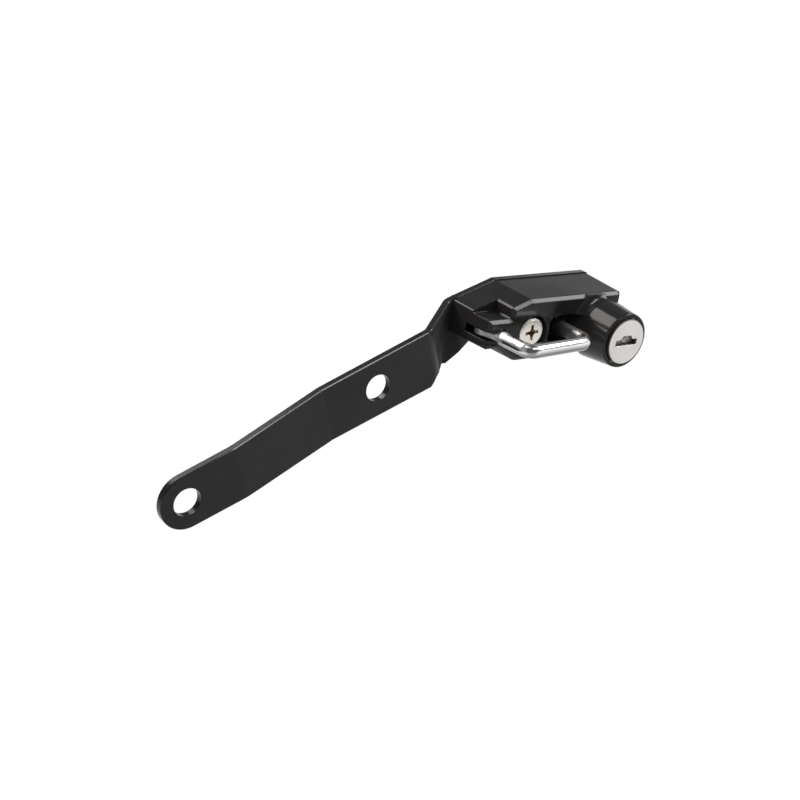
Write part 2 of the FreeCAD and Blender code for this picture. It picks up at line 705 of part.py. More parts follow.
def key_plug():
    """Turned plug with its keyway, shutter room, wafer slots, clip groove and square tail."""
    head = round_y(barrel_u, barrel_h, plug_head_r, head_front, head_back)
    main = round_y(barrel_u, barrel_h, plug_r, head_back - 0.5, journal_front)
    journal = round_y(barrel_u, barrel_h, journal_r, journal_front - 0.5, tail_front)
    half = tail_square / 2
    tail = block(barrel_u - half, barrel_u + half, tail_front - 0.5,
                 tail_front + cam_thickness - cam_web - slide_gap,
                 barrel_h - half, barrel_h + half)
    body = head.fuse([main, journal, tail]).removeSplitter()
    last = wafer_place(wafer_count - 1)
    body = body.cut(key_profile(0.1, head_front - 1, last + wafer_thickness))
    room = block(barrel_u - shutter_half - 0.3, barrel_u + shutter_half + 0.3,
                 shutter_y - shutter_pin_r - 0.1,
                 shutter_room_back, shutter_low - 0.3, shutter_axis_h + shutter_pin_r + 0.15)
    hinge = Part.makeCylinder(shutter_pin_r + running_gap, 2 * shutter_half + 1.6,
                              Vector(barrel_u - shutter_half - 0.8, shutter_y, shutter_axis_h),
                              Vector(1, 0, 0))
    tools = [room, hinge]
    for i in range(wafer_count):
        y = wafer_place(i)
        tools.append(block(barrel_u - plug_r - 1, barrel_u + plug_r + 1, y - wafer_thickness / 2 - 0.05,
                           y + wafer_thickness / 2 + 0.05, barrel_h - wafer_half_height - 0.05,
                           barrel_h + wafer_half_height + 0.05))
    ring = round_y(barrel_u, barrel_h, journal_r + 1, clip_front - 0.05, clip_front + clip_sheet + 0.05)
    ring = ring.cut(round_y(barrel_u, barrel_h, journal_r - 0.6, clip_front - 1,
                            clip_front + clip_sheet + 1))
    tools.append(ring)
    return body.cut(tools)


def plug_face_cap():
    """Pressed stainless cup over the plug's head, pierced by the keyway."""
    back = head_back - 0.5
    cup = round_y(barrel_u, barrel_h, cap_r, cap_face, back)
    crown = [e for e in cup.Edges if e.BoundBox.YMax < cap_face + 0.01]
    cup = cup.makeFillet(0.3, crown)
    cup = cup.cut(round_y(barrel_u, barrel_h, plug_head_r + 0.02, head_front, back + 1))
    cup = cup.cut(key_profile(0, cap_face - 1, head_front + 1))
    slot = [e for e in cup.Edges if e.BoundBox.YMax < cap_face + 0.01 and e.BoundBox.DiagonalLength < cap_r]
    return cup.makeFillet(cap_slot_r, slot)


def key_shutter():
    """Flap behind the keyway that the key pushes inwards."""
    flap = block(barrel_u - shutter_half, barrel_u + shutter_half, shutter_y - shutter_sheet / 2,
                 shutter_y + shutter_sheet / 2, shutter_low, shutter_axis_h)
    pin = Part.makeCylinder(shutter_pin_r, 2 * (shutter_half + shutter_pin_past),
                            Vector(barrel_u - shutter_half - shutter_pin_past, shutter_y, shutter_axis_h),
                            Vector(1, 0, 0))
    front = shutter_y - shutter_sheet / 2
    crown = front - shutter_boss_proud
    boss = round_y(barrel_u, barrel_h + shutter_boss_rise, shutter_boss_r, crown, front + 0.1)
    tip = [e for e in boss.Edges if e.BoundBox.YMax < crown + 0.01]
    boss = boss.makeFillet(shutter_boss_proud * 0.8, tip)
    return flap.fuse([pin, boss]).removeSplitter()


def wafer(i):
    """Stamped wafer with a window for the key; each window sits at its own height."""
    y = wafer_place(i) - wafer_thickness / 2
    blank = round_y(barrel_u, barrel_h, plug_r - slide_gap, y, y + wafer_thickness)
    blank = blank.common(block(barrel_u - plug_r, barrel_u + plug_r, y, y + wafer_thickness,
                               barrel_h - wafer_half_height, barrel_h + wafer_half_height))
    shift = 0.25 * ((i * 2) % 5 - 2)
    window = block(barrel_u - key_slot_half + 0.6 + shift, barrel_u + key_slot_half - 0.6 + shift, y - 1,
                   y + wafer_thickness + 1, barrel_h + key_slot_low - 0.2, barrel_h + key_slot_high + 0.3)
    return blank.cut(window)


def crank_place():
    """Centre of the cam's crank pin with the latch drawn back."""
    start = math.radians(90 - latch_turn / 2)
    return (barrel_u + crank_r * math.cos(start), barrel_h + crank_r * math.sin(start))


def drive_cam():
    """Disc on the plug's square tail with the crank pin that moves the latch bolt."""
    back = tail_front + cam_thickness
    disc = round_y(barrel_u, barrel_h, cam_r, tail_front + slide_gap, back)
    u, h = crank_place()
    pin = round_y(u, h, crank_pin_r, back - 0.4, latch_back - 0.2)
    half = tail_square / 2 + 0.02
    square = block(barrel_u - half, barrel_u + half, tail_front - 1, back - cam_web, barrel_h - half,
                   barrel_h + half)
    return disc.fuse(pin).removeSplitter().cut(square)


def plug_retaining_clip():
    """Open spring ring in the plug's groove, behind the sleeve."""
    ring = round_y(barrel_u, barrel_h, ledge_r - 0.2, clip_front, clip_front + clip_sheet)
    ring = ring.cut(round_y(barrel_u, barrel_h, journal_r - 0.58, clip_front - 1,
                            clip_front + clip_sheet + 1))
    gap = block(barrel_u - 2.2, barrel_u + 2.2, clip_front - 1, clip_front + clip_sheet + 1,
                barrel_h - ledge_r - 1, barrel_h - 2)
    return ring.cut(gap)


def latch_bolt():
    """Flat bolt with a nose for the shackle's notch and a cross slot for the crank pin."""
    nose = leg_u + rod_r + 0.8
    body = block(nose + nose_length, latch_tail, latch_front, latch_back, latch_low, latch_high)
    tongue = block(nose, nose + nose_length + 1, latch_front, latch_back,
                   shackle_h - nose_half_height, shackle_h + nose_half_height)
    tip = [e for e in tongue.Edges if e.BoundBox.XMax < nose + 0.01]
    tongue = tongue.makeFillet(0.4, tip)
    u, h = crank_place()
    half = crank_pin_r + 0.2
    travel = crank_r * (1 - math.cos(math.radians(latch_turn / 2)))
    slot = block(u - half, u + half, latch_front - 1, latch_back + 1, h - half - 0.2,
                 h + travel + half + 0.2)
    return body.fuse(tongue).removeSplitter().cut(slot)


def rear_cover():
    """Plate that closes the latch works at the back."""
    outline = flat_wire([(cover_left, cover_low), (cover_left, cover_high),
                         (works_right - slide_gap, cover_high),
                         (works_right - slide_gap, cover_low)], [1.0] * 4)
    plate = prism(outline, cover_front, cover_front + cover_sheet)
    for h in cover_screw_heights:
        plate = plate.cut(round_y(cover_screw_u, h, cover_screw_r + slide_gap, cover_front - 1,
                                  cover_front + cover_sheet + 1))
    return plate


def cover_screws():
    """Two small pan-head screws of the rear cover."""
    solids = []
    face = cover_front + cover_sheet
    for h in cover_screw_heights:
        head = round_y(cover_screw_u, h, cover_screw_r * 1.6, face, face + 0.9)
        slot = block(cover_screw_u - 2, cover_screw_u + 2, face + 0.5, face + 1.5, h - 0.2, h + 0.2)
        shank = round_y(cover_screw_u, h, cover_screw_r, cover_screw_tip, face + 0.3)
        solids.append(head.fuse(shank).removeSplitter().cut(slot))
    return Part.makeCompound(solids)


def save(name, shape):
    """Writes one sub-part and prints its size."""
    shape.exportStep(os.path.join("parts", name + ".step"))
    print(name, "solids", len(shape.Solids), "valid", shape.isValid(), "mm3", round(shape.Volume, 1))


def main():
    os.makedirs("parts", exist_ok=True)
    save("bracket", bracket())
    pieces = {
        "lock_housing": lock_housing,
        "fixing_screw": fixing_screw,
        "shackle": shackle,
        "shackle_pivot_pin": pivot_pin,
        "cylinder_sleeve": cylinder_sleeve,
        "sleeve_retaining_pin": sleeve_retaining_pin,
        "key_plug": key_plug,
        "plug_face_cap": plug_face_cap,
        "key_shutter": key_shutter,
        "drive_cam": drive_cam,
        "plug_retaining_clip": plug_retaining_clip,
        "latch_bolt": latch_bolt,
        "rear_cover": rear_cover,
        "cover_screws": cover_screws,
    }
    for name, make in pieces.items():
        save(name, in_row(make()))
    for i in range(wafer_count):
        save("wafer_%d" % (i + 1), in_row(wafer(i)))


main()
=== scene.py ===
import math

import bmesh
import bpy
from bpy.props import FloatProperty, FloatVectorProperty, PointerProperty
from bpy.types import Operator, Panel, PropertyGroup
from mathutils import Matrix, Vector


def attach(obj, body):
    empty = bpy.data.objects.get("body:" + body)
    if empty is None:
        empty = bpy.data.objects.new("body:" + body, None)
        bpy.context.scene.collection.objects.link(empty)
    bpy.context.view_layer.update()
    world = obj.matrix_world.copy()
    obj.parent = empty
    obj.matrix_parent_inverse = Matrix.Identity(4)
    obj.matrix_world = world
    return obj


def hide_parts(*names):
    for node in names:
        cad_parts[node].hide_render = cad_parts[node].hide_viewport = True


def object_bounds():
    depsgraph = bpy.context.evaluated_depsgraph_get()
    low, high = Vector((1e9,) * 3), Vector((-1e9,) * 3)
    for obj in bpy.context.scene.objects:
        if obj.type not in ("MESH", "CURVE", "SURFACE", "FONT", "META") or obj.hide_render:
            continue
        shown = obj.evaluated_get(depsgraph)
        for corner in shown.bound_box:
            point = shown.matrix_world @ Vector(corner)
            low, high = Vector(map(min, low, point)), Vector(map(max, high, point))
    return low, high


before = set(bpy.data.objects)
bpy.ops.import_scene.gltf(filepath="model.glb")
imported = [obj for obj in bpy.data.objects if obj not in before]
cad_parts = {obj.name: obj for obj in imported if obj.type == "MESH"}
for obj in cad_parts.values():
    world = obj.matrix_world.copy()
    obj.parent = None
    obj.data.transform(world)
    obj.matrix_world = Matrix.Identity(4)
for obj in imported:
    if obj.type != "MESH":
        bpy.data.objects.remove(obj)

bl_info = {
    "name": "Helmet lock",
    "version": (1, 0, 0),
    "blender": (4, 5, 0),
    "location": "3D View > Sidebar > Lock",
    "description": "Dresses a helmet lock with paint, plating and studio light",
    "category": "Object",
}

CAD_BOX = [list(corner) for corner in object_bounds()]
MM = 0.001

# The relief under the sheet's lock bend: x and z of its rounded outline, in millimetres, and how far
# the cutter runs along Y
RELIEF_EDGE = [(14.0, -10.6), (18.6, -10.3), (20.8, -8.7), (22.0, -7.3), (24.0, -6.7), (27.8, -8.2),
               (31.5, -10.6)]
RELIEF_BASE = [(31.5, -14.0), (14.0, -14.0)]
RELIEF_ROUNDS = 3
CUTTER_FRONT = -12.0
CUTTER_REAR = 14.0

# How far the plate's heel hangs below the straight blank by x, in millimetres, and where it fades out
HEEL_DROP = [(28.5, 0.0), (30.0, -0.4), (31.5, -1.3), (32.6, -1.9), (34.5, -1.5), (37.0, -0.7),
             (39.6, -0.3), (42.3, -0.3), (44.2, 0.0)]
HEEL_TOP = -6.5
HEEL_FADE = 3.3

# The chamfer between the sheet's front face and its upper edge
SHEET_CHAMFER = 0.3 * MM
CHAMFER_LOWEST = 4 * MM
SHARP_FROM = math.radians(60)
SMOOTH_TO = math.radians(32)

# Places in the row frame where a piece's finish differs, or where shade or a reflection is painted on it
WEB_X = (24 * MM, 40 * MM)
CASTING_X = (20 * MM, 66 * MM)
FREE_LEG_X = (63 * MM, 75 * MM)
FREE_LEG_Y = (-21 * MM, 9 * MM)
EYE_X = (34 * MM, 45 * MM)
EYE_Y = (-15 * MM, 9 * MM)
BEND_REFLECTION_CENTRE = (43.4 * MM, -26.1 * MM, 2.3 * MM)
SCREW_RECESS = (55.95 * MM, -8.6 * MM, -3.8 * MM)
CAP_AXIS = (82.70 * MM, 0, -14.50 * MM)

# Colours that a user has no need to change
# Dark brown painted into the screw's cross recess as shade
RECESS_SHADE_BROWN = (0.16, 0.11, 0.05)
PIN_STEEL = (0.55, 0.55, 0.55)
# Grey steel for the key shutter, made darker as painted shade inside the key slot
SHADED_SHUTTER_STEEL = (0.30, 0.29, 0.28)
ZINC_PLATE = (0.62, 0.62, 0.60)
FLOOR_GREY = (0.9, 0.9, 0.9, 1)
WHITE = (1.0, 1.0, 1.0)
WARM_WHITE = (1.0, 0.95, 0.91)

# Noise lies mostly between these values
NOISE_LOW = 0.35
NOISE_HIGH = 0.65

# Texture of the paint and the plating: widths of the cloudy patches, depths of the bumps and the
# radius to which plating rounds sharp edges
PAINT_CLOUD = 14 * MM
PLATING_CLOUD = 9 * MM
PEEL_DEPTH = 0.004 * MM
GRAIN_DEPTH = 0.002 * MM
CHROME_DEPTH = 0.0006 * MM
PLATED_EDGE = 0.12 * MM

# The studio in metres: for each light the value that holds its radiance, its place, the point that it
# faces, its size and its colour
MIDDLE = (0.02, 0.0, -0.005)
BARREL = (0.078, -0.02, -0.01)
LIGHTS = {
    "front_softbox": ("front_light", (0.94, -0.30, 0.375), MIDDLE, (0.50, 0.30), WHITE),
    "rear_softbox": ("rear_light", (0.002, 0.600, 0.767), BARREL, (0.66, 0.40), WARM_WHITE),
    "strip_light": ("rear_light", (-0.509, 0.472, 0.633), BARREL, (0.07, 0.16), WHITE),
    "side_softbox": ("side_light", (0.56, -0.52, 0.66), MIDDLE, (0.20, 0.20), WHITE),
    "edge_light": ("edge_light", (0.394, -0.554, 0.778), MIDDLE, (0.22, 0.10), WHITE),
    "top_softbox": ("top_light", (0.10, -0.10, 1.0), MIDDLE, (0.50, 0.50), WHITE),
}
CAMERA_PLACE = (-0.1935124, -0.3438427, 0.2565456)
CAMERA_RIGHT = (0.7960245, -0.5856984, -0.1526511)
CAMERA_UP = (0.4350170, 0.3782682, 0.8171128)
SENSOR_WIDTH = 36.0
NEAR_LIMIT = 0.01


class LOCK_PG_finishes(PropertyGroup):
    """Colours and surface values of the lock's finishes."""

    bracket_paint: FloatVectorProperty(name="Bracket paint", description="Colour of the bracket's paint",
                                       subtype="COLOR", size=3, min=0, max=1,
                                       default=(0.0075, 0.0075, 0.0078))
    housing_paint: FloatVectorProperty(name="Housing paint", description="Colour of the housing's paint",
                                       subtype="COLOR", size=3, min=0, max=1,
                                       default=(0.0105, 0.0100, 0.0098))
    chrome: FloatVectorProperty(name="Chrome", description="Colour of the shackle's plating",
                                subtype="COLOR", size=3, min=0, max=1, default=(0.90, 0.89, 0.89))
    stainless: FloatVectorProperty(name="Stainless", description="Colour of the pressed key cap",
                                   subtype="COLOR", size=3, min=0, max=1, default=(0.66, 0.64, 0.63))
    nickel: FloatVectorProperty(name="Nickel", description="Colour of the screw's plating",
                                subtype="COLOR", size=3, min=0, max=1, default=(0.72, 0.69, 0.64))
    brass: FloatVectorProperty(name="Brass", description="Colour of the wafers and the sleeve",
                               subtype="COLOR", size=3, min=0, max=1, default=(0.80, 0.66, 0.40))
    zinc: FloatVectorProperty(name="Zinc alloy", description="Colour of the plug and the cam",
                              subtype="COLOR", size=3, min=0, max=1, default=(0.32, 0.31, 0.29))
    bracket_roughness: FloatProperty(name="Bracket roughness",
                                     description="Roughness of the bracket's paint",
                                     subtype="FACTOR", min=0, max=1, default=0.19)
    housing_roughness: FloatProperty(name="Housing roughness",
                                     description="Roughness of the housing's paint",
                                     subtype="FACTOR", min=0, max=1, default=0.16)
    chrome_roughness: FloatProperty(name="Chrome roughness",
                                    description="Roughness of the shackle's plating",
                                    subtype="FACTOR", min=0, max=1, default=0.15)
    paint_edge: FloatProperty(name="Paint edge", description="Radius to which the paint rounds sharp edges",
                              subtype="DISTANCE", unit="LENGTH", min=0, max=0.002, default=0.45 * MM)
    bracket_edge: FloatProperty(name="Bracket edge", description="The same radius for the bracket's paint",
                                subtype="DISTANCE", unit="LENGTH", min=0, max=0.002, default=0.09 * MM)


class LOCK_PG_stage(PropertyGroup):
    """Floor, light and camera."""

    floor_size: FloatProperty(name="Floor size", description="Side of the pale floor",
                              subtype="DISTANCE", unit="LENGTH", min=0.5, max=40, default=24.0)
    floor_drop: FloatProperty(name="Floor drop", description="How far the floor lies under the object",
                              subtype="DISTANCE", unit="LENGTH", min=0, max=1, default=0.045)
    floor_glow: FloatProperty(name="Floor glow", description="Share of the floor that shows as plain white",
                              subtype="FACTOR", min=0, max=1, default=0.97)
    walls: FloatProperty(name="Walls", description="Brightness of the studio's walls",
                         min=0, max=2, default=0.29)
    front_light: FloatProperty(name="Front light", description="Radiance of the light at the front right",
                               min=0, max=50, default=14.0)
    rear_light: FloatProperty(name="Rear light", description="Radiance of the two lights behind the lock",
                              min=0, max=50, default=10.5)
    side_light: FloatProperty(name="Side light", description="Radiance of the small light high at the right",
                              min=0, max=50, default=16.0)
    edge_light: FloatProperty(name="Edge light", description="Radiance of the light in the arm's edge",
                              min=0, max=50, default=30.0)
    top_light: FloatProperty(name="Top light", description="Radiance of the light overhead",
                             min=0, max=50, default=1.5)
    focal_length: FloatProperty(name="Focal length", description="Focal length for a 36 mm wide sensor",
                                min=10, max=300, default=67.5)


def finishes():
    """The scene's finish values."""
    return bpy.context.scene.lock_finishes


def stage_values():
    """The scene's stage values."""
    return bpy.context.scene.lock_stage


def new_material(name):
    """A material with its node tree and its shader."""
    mat = bpy.data.materials.new(name)
    mat.use_nodes = True
    return mat, mat.node_tree, mat.node_tree.nodes["Principled BSDF"]


def row_place(tree):
    """Position on the surface, in the frame that all the pieces share at rest."""
    return tree.nodes.new("ShaderNodeTexCoord").outputs["Object"]


def noise(tree, place, size, detail):
    """Noise with features of about this size in metres."""
    node = tree.nodes.new("ShaderNodeTexNoise")
    node.inputs["Scale"].default_value = 1.0 / size
    node.inputs["Detail"].default_value = detail
    tree.links.new(place, node.inputs["Vector"])
    return node.outputs["Fac"]


def spread(tree, source, low, high):
    """Maps noise to a range of values."""
    node = tree.nodes.new("ShaderNodeMapRange")
    node.inputs["From Min"].default_value = NOISE_LOW
    node.inputs["From Max"].default_value = NOISE_HIGH
    node.inputs["To Min"].default_value = low
    node.inputs["To Max"].default_value = high
    tree.links.new(source, node.inputs["Value"])
    return node.outputs["Result"]


def blend_colours(tree, factor, first, second):
    """Mixes two colours by a factor."""
    node = tree.nodes.new("ShaderNodeMix")
    node.data_type = "RGBA"
    node.inputs["A"].default_value = (*first, 1)
    node.inputs["B"].default_value = (*second, 1)
    tree.links.new(factor, node.inputs["Factor"])
    return node.outputs["Result"]


def tint(colour, factor):
    """The colour made darker or lighter."""
    return tuple(min(1.0, c * factor) for c in colour)


def step(tree, source, none, full):
    """Soft rise from 0 where the source has the one value to 1 where it has the other."""
    node = tree.nodes.new("ShaderNodeMapRange")
    node.interpolation_type = "SMOOTHSTEP"
    node.inputs["From Min"].default_value = none
    node.inputs["From Max"].default_value = full
    tree.links.new(source, node.inputs["Value"])
    return node.outputs["Result"]


def times(tree, first, second):
    """Product of two sources."""
    node = tree.nodes.new("ShaderNodeMath")
    node.operation = "MULTIPLY"
    tree.links.new(first, node.inputs[0])
    tree.links.new(second, node.inputs[1])
    return node.outputs[0]


def distance(tree, centre, scale=(1, 1, 1)):
    """Distance from a point in the row frame, with each axis scaled."""
    offset = tree.nodes.new("ShaderNodeVectorMath")
    offset.operation = "SUBTRACT"
    offset.inputs[1].default_value = centre
    tree.links.new(row_place(tree), offset.inputs[0])
    scaled = tree.nodes.new("ShaderNodeVectorMath")
    scaled.operation = "MULTIPLY"
    scaled.inputs[1].default_value = scale
    tree.links.new(offset.outputs["Vector"], scaled.inputs[0])
    length = tree.nodes.new("ShaderNodeVectorMath")
    length.operation = "LENGTH"
    tree.links.new(scaled.outputs["Vector"], length.inputs[0])
    return length.outputs["Value"]


def between(tree, axis, ends, fade):
    """1 between two places along one of the row frame's axes, fading at both."""
    start, end = ends
    parts = tree.nodes.new("ShaderNodeSeparateXYZ")
    tree.links.new(row_place(tree), parts.inputs[0])
    into = step(tree, parts.outputs[axis], start - fade, start + fade)
    out = step(tree, parts.outputs[axis], end + fade, end - fade)
    return times(tree, into, out)


def stretch_of_rod(tree, ends_x, ends_y, fade):
    """1 over the part of the rod that lies between two places along X and two along Y."""
    return times(tree, between(tree, "X", ends_x, fade), between(tree, "Y", ends_y, fade))


def facing(tree, axis, none, full):
    """Share from 0 to 1 by how far the surface faces along one of the piece's own axes."""
    parts = tree.nodes.new("ShaderNodeSeparateXYZ")
    tree.links.new(tree.nodes.new("ShaderNodeTexCoord").outputs["Normal"], parts.inputs[0])
    return step(tree, parts.outputs[axis], none, full)


def bumps(tree, height, shader, depth, strength, edge):
    """Bumps of the given depth in metres, over edges that are rounded to the given radius."""
    bump = tree.nodes.new("ShaderNodeBump")
    bump.inputs["Distance"].default_value = depth
    bump.inputs["Strength"].default_value = strength
    tree.links.new(height, bump.inputs["Height"])
    bevel = tree.nodes.new("ShaderNodeBevel")
    bevel.samples = 6
    bevel.inputs["Radius"].default_value = edge
    tree.links.new(bevel.outputs["Normal"], bump.inputs["Normal"])
    tree.links.new(bump.outputs["Normal"], shader.inputs["Normal"])


def paint(name, colour, roughness, edge, peel, ior):
    """Sprayed paint: orange peel, cloudy gloss and edges rounded by the film."""
    mat, tree, shader = new_material(name)
    place = row_place(tree)
    cloud = noise(tree, place, PAINT_CLOUD, detail=4)
    shade = blend_colours(tree, spread(tree, cloud, 0, 1), tint(colour, 0.8), tint(colour, 1.25))
    tree.links.new(shade, shader.inputs["Base Color"])
    tree.links.new(spread(tree, cloud, roughness * 0.88, roughness * 1.12), shader.inputs["Roughness"])
    shader.inputs["IOR"].default_value = ior
    bumps(tree, noise(tree, place, peel, detail=2), shader, PEEL_DEPTH, strength=0.6, edge=edge)
    return mat


def plating(name, colour, roughness, grain, depth=GRAIN_DEPTH):
    """Bright or satin metal plating with a fine grain."""
    mat, tree, shader = new_material(name)
    place = row_place(tree)
    shader.inputs["Metallic"].default_value = 1.0
    cloud = noise(tree, place, PLATING_CLOUD, detail=3)
    shade = blend_colours(tree, spread(tree, cloud, 0, 1), tint(colour, 0.95), tint(colour, 1.04))
    tree.links.new(shade, shader.inputs["Base Color"])
    fine = noise(tree, place, grain, detail=3)
    tree.links.new(spread(tree, fine, roughness * 0.8, roughness * 1.2), shader.inputs["Roughness"])
    bumps(tree, fine, shader, depth, strength=0.5, edge=PLATED_EDGE)
    return mat


def roughen(tree, roughness, mask):
    """Brings the roughness to another value where the mask is 1."""
    socket = tree.nodes["Principled BSDF"].inputs["Roughness"]
    source = socket.links[0].from_socket
    node = tree.nodes.new("ShaderNodeMix")
    node.inputs["B"].default_value = roughness
    tree.links.new(mask, node.inputs["Factor"])
    tree.links.new(source, node.inputs["A"])
    tree.links.new(node.outputs["Result"], socket)


def recolour(tree, colour, mask):
    """Brings the base colour to another one where the mask is 1."""
    socket = tree.nodes["Principled BSDF"].inputs["Base Color"]
    source = socket.links[0].from_socket
    node = tree.nodes.new("ShaderNodeMix")
    node.data_type = "RGBA"
    node.inputs["B"].default_value = (*colour, 1)
    tree.links.new(mask, node.inputs["Factor"])
    tree.links.new(source, node.inputs["A"])
    tree.links.new(node.outputs["Result"], socket)


def dress(mat, *nodes):
    """Puts a material on CAD nodes."""
    for name in nodes:
        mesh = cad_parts[name].data
        mesh.materials.clear()
        mesh.materials.append(mat)


def value_at(x, pairs):
    """Value at a place, on straight lines between the given pairs."""
    for (x0, v0), (x1, v1) in zip(pairs[:-1], pairs[1:]):
        if x0 <= x <= x1:
            return v0 + (v1 - v0) * (x - x0) / (x1 - x0)
    return 0.0


def cut_corners(points, rounds):
    """Rounds the corners of an outline by cutting them again and again."""
    for _ in range(rounds):
        cut = [points[0]]
        for (x0, z0), (x1, z1) in zip(points[:-1], points[1:]):
            cut.append((x0 * 0.75 + x1 * 0.25, z0 * 0.75 + z1 * 0.25))
            cut.append((x0 * 0.25 + x1 * 0.75, z0 * 0.25 + z1 * 0.75))
        cut.append(points[-1])
        points = cut
    return points


def prism_across(name, corners, front, rear):
    """Solid that runs from front to rear along Y over corners given as x and z, in millimetres."""
    mesh = bpy.data.meshes.new(name)
    count = len(corners)
    points = [(x * MM, y * MM, z * MM) for y in (front, rear) for x, z in corners]
    ends = [tuple(range(count)), tuple(range(2 * count - 1, count - 1, -1))]
    sides = [(i, (i + 1) % count, (i + 1) % count + count, i + count) for i in range(count)]
    mesh.from_pydata(points, [], ends + sides)
    shape = bmesh.new()
    shape.from_mesh(mesh)
    bmesh.ops.recalc_face_normals(shape, faces=shape.faces)
    shape.to_mesh(mesh)
    shape.free()
    return mesh


def relief_cutter():
    """The solid that is cut away under the lock bend."""
    outline = cut_corners(RELIEF_EDGE, RELIEF_ROUNDS) + RELIEF_BASE
    mesh = prism_across("relief_cutter", outline, CUTTER_FRONT, CUTTER_REAR)
    return bpy.data.objects.new("relief_cutter", mesh)


def lower_heel(mesh):
    """Lets the plate's heel hang below the straight blank."""
    for vertex in mesh.vertices:
        x, _, z = vertex.co / MM
        share = min(max((HEEL_TOP - z) / HEEL_FADE, 0.0), 1.0)
        vertex.co.z += value_at(x, HEEL_DROP) * share * MM


def is_upper_front(edge):
    """Whether an edge joins the sheet's front face to its upper edge."""
    if len(edge.link_faces) != 2 or edge.calc_face_angle(0.0) <= SHARP_FROM:
        return False
    normals = [face.normal for face in edge.link_faces]
    high = min(vertex.co.z for vertex in edge.verts) > CHAMFER_LOWEST
    faces_front = min(normal.y for normal in normals) < -0.3
    faces_up = max(normal.z for normal in normals) > 0.7
    return high and faces_front and faces_up


def break_upper_edge(mesh):
    """Chamfers the edge between the sheet's front face and its upper edge."""
    shape = bmesh.new()
    shape.from_mesh(mesh)
    bmesh.ops.remove_doubles(shape, verts=shape.verts, dist=0.001 * MM)
    edges = [edge for edge in shape.edges if is_upper_front(edge)]
    bmesh.ops.bevel(shape, geom=edges, offset=SHEET_CHAMFER, offset_type="OFFSET", segments=1,
                    affect="EDGES", clamp_overlap=False)
    shape.to_mesh(mesh)
    shape.free()
    if "custom_normal" in mesh.attributes:
        mesh.attributes.remove(mesh.attributes["custom_normal"])
    mesh.shade_smooth()
    mesh.set_sharp_from_angle(angle=SMOOTH_TO)


def area_light(name, place, target, size, radiance, colour):
    """A soft rectangular light that faces a point; its power follows from its radiance."""
    data = bpy.data.lights.new(name, "AREA")
    data.shape = "RECTANGLE"
    data.size, data.size_y = size
    data.energy = radiance * math.pi * size[0] * size[1]
    data.color = colour
    lamp = bpy.data.objects.new(name, data)
    lamp.location = place
    lamp.rotation_euler = (Vector(target) - Vector(place)).to_track_quat("-Z", "Y").to_euler()
    bpy.context.scene.collection.objects.link(lamp)


def seen_rays(tree):
    """1 for rays that show the floor to the eye: straight, mirrored or through glass."""
    path = tree.nodes.new("ShaderNodeLightPath")
    total = path.outputs["Is Camera Ray"]
    for ray in ("Is Glossy Ray", "Is Transmission Ray"):
        either = tree.nodes.new("ShaderNodeMath")
        either.operation = "MAXIMUM"
        tree.links.new(total, either.inputs[0])
        tree.links.new(path.outputs[ray], either.inputs[1])
        total = either.outputs[0]
    return total


class LOCK_OT_bracket(Operator):
    """Cuts the relief under the sheet's lock bend and paints the bracket."""

    bl_idname = "lock.bracket"
    bl_label = "Bracket"

    def black_paint(self):
        """Semi-gloss paint, dull on the bend's web."""
        f = finishes()
        mat = paint("semi_gloss_paint", f.bracket_paint, f.bracket_roughness, f.bracket_edge,
                    peel=0.9 * MM, ior=1.3)
        tree = mat.node_tree
        web = times(tree, between(tree, "X", WEB_X, fade=2 * MM), facing(tree, "Z", none=0.5, full=0.2))
        roughen(tree, 0.75, web)
        return mat

    def relieved_sheet(self):
        """The CAD bracket's sheet with the relief cut out of it."""
        cutter = relief_cutter()
        piece = bpy.data.objects.new("bent_sheet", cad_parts["bracket"].data.copy())
        for obj in (cutter, piece):
            bpy.context.scene.collection.objects.link(obj)
        cut = piece.modifiers.new("relief", "BOOLEAN")
        cut.operation = "DIFFERENCE"
        cut.solver = "EXACT"
        cut.object = cutter
        bpy.context.view_layer.update()
        depsgraph = bpy.context.evaluated_depsgraph_get()
        mesh = bpy.data.meshes.new_from_object(piece.evaluated_get(depsgraph))
        if not mesh.polygons:
            raise RuntimeError("The cut of the relief left nothing of the sheet")
        piece.modifiers.clear()
        piece.data = mesh
        bpy.data.objects.remove(cutter)
        mesh.name = "bent_sheet"
        return piece

    def execute(self, context):
        mat = self.black_paint()
        piece = self.relieved_sheet()
        lower_heel(piece.data)
        break_upper_edge(piece.data)
        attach(piece, "base")
        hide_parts("bracket")
        piece.data.materials.clear()
        piece.data.materials.append(mat)
        return {"FINISHED"}


class LOCK_OT_housing(Operator):
    """Paints the die-cast lock body."""

    bl_idname = "lock.housing"
    bl_label = "Housing"

    def execute(self, context):
        f = finishes()
        mat = paint("gloss_paint", f.housing_paint, f.housing_roughness, f.paint_edge,
                    peel=1.3 * MM, ior=1.27)
        tree = mat.node_tree
        casting = between(tree, "X", CASTING_X, fade=2 * MM)
        underside = times(tree, facing(tree, "Z", none=-0.2, full=-0.75), casting)
        roughen(tree, 0.7, underside)
        # Painted light: faces that look to the left get a paint 2.3 times lighter
        painted_light_left = facing(tree, "X", none=-0.3, full=-0.9)
        recolour(tree, tint(f.housing_paint, 2.3), painted_light_left)
        dress(mat, "lock_housing")
        return {"FINISHED"}


